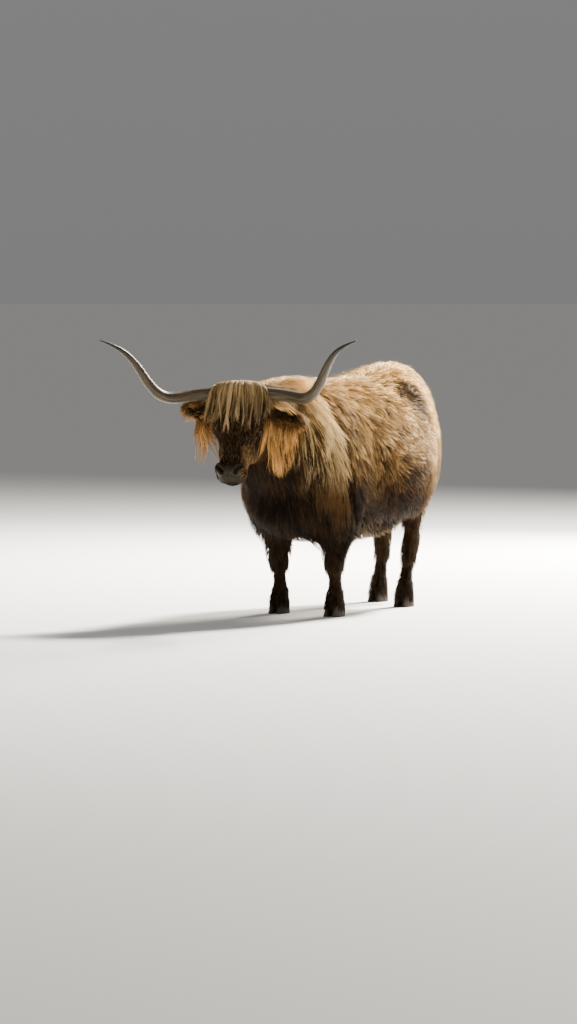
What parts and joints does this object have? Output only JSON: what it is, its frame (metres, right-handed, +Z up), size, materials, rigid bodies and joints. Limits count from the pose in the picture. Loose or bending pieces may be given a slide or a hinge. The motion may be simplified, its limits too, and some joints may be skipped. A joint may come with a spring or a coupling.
{
  "type": "highland cow",
  "caption": "Life-size standing Highland cow with a long shaggy coat, wide upturned horns and a fringe over the eyes, as a still museum model.",
  "frame": {"origin": "on the floor under the middle of the bounding box, at the level of the hoof soles", "axes": "+Z up; the cow faces -Y; its left side is towards +X"},
  "size_m": [1.1624, 2.174, 1.2966],
  "materials": {
    "coat_gold": "long golden-tan hair, dry, in wavy locks",
    "coat_brown": "shorter brown hair on the face, long on the tail",
    "coat_dark": "black-brown hair of the legs, muddy below",
    "horn": "grey-cream keratin with fine growth rings, dark towards the tips",
    "eye": "wet, nearly black",
    "hoof": "dark horn with a little mud"
  },
  "bodies": {
    "root": {"trunk": "coat_gold", "neck": "coat_gold", "forelock": "coat_gold", "ear_left": "coat_gold", "ear_right": "coat_gold", "head": "coat_brown", "tail": "coat_brown", "leg_front_left": "coat_dark", "leg_front_right": "coat_dark", "leg_hind_left": "coat_dark", "leg_hind_right": "coat_dark", "horn_left": "horn", "horn_right": "horn", "eye_left": "eye", "eye_right": "eye", "claw_front_left_inner": "hoof", "claw_front_left_outer": "hoof", "claw_front_right_inner": "hoof", "claw_front_right_outer": "hoof", "claw_hind_left_inner": "hoof", "claw_hind_left_outer": "hoof", "claw_hind_right_inner": "hoof", "claw_hind_right_outer": "hoof"}
  },
  "joints": []
}
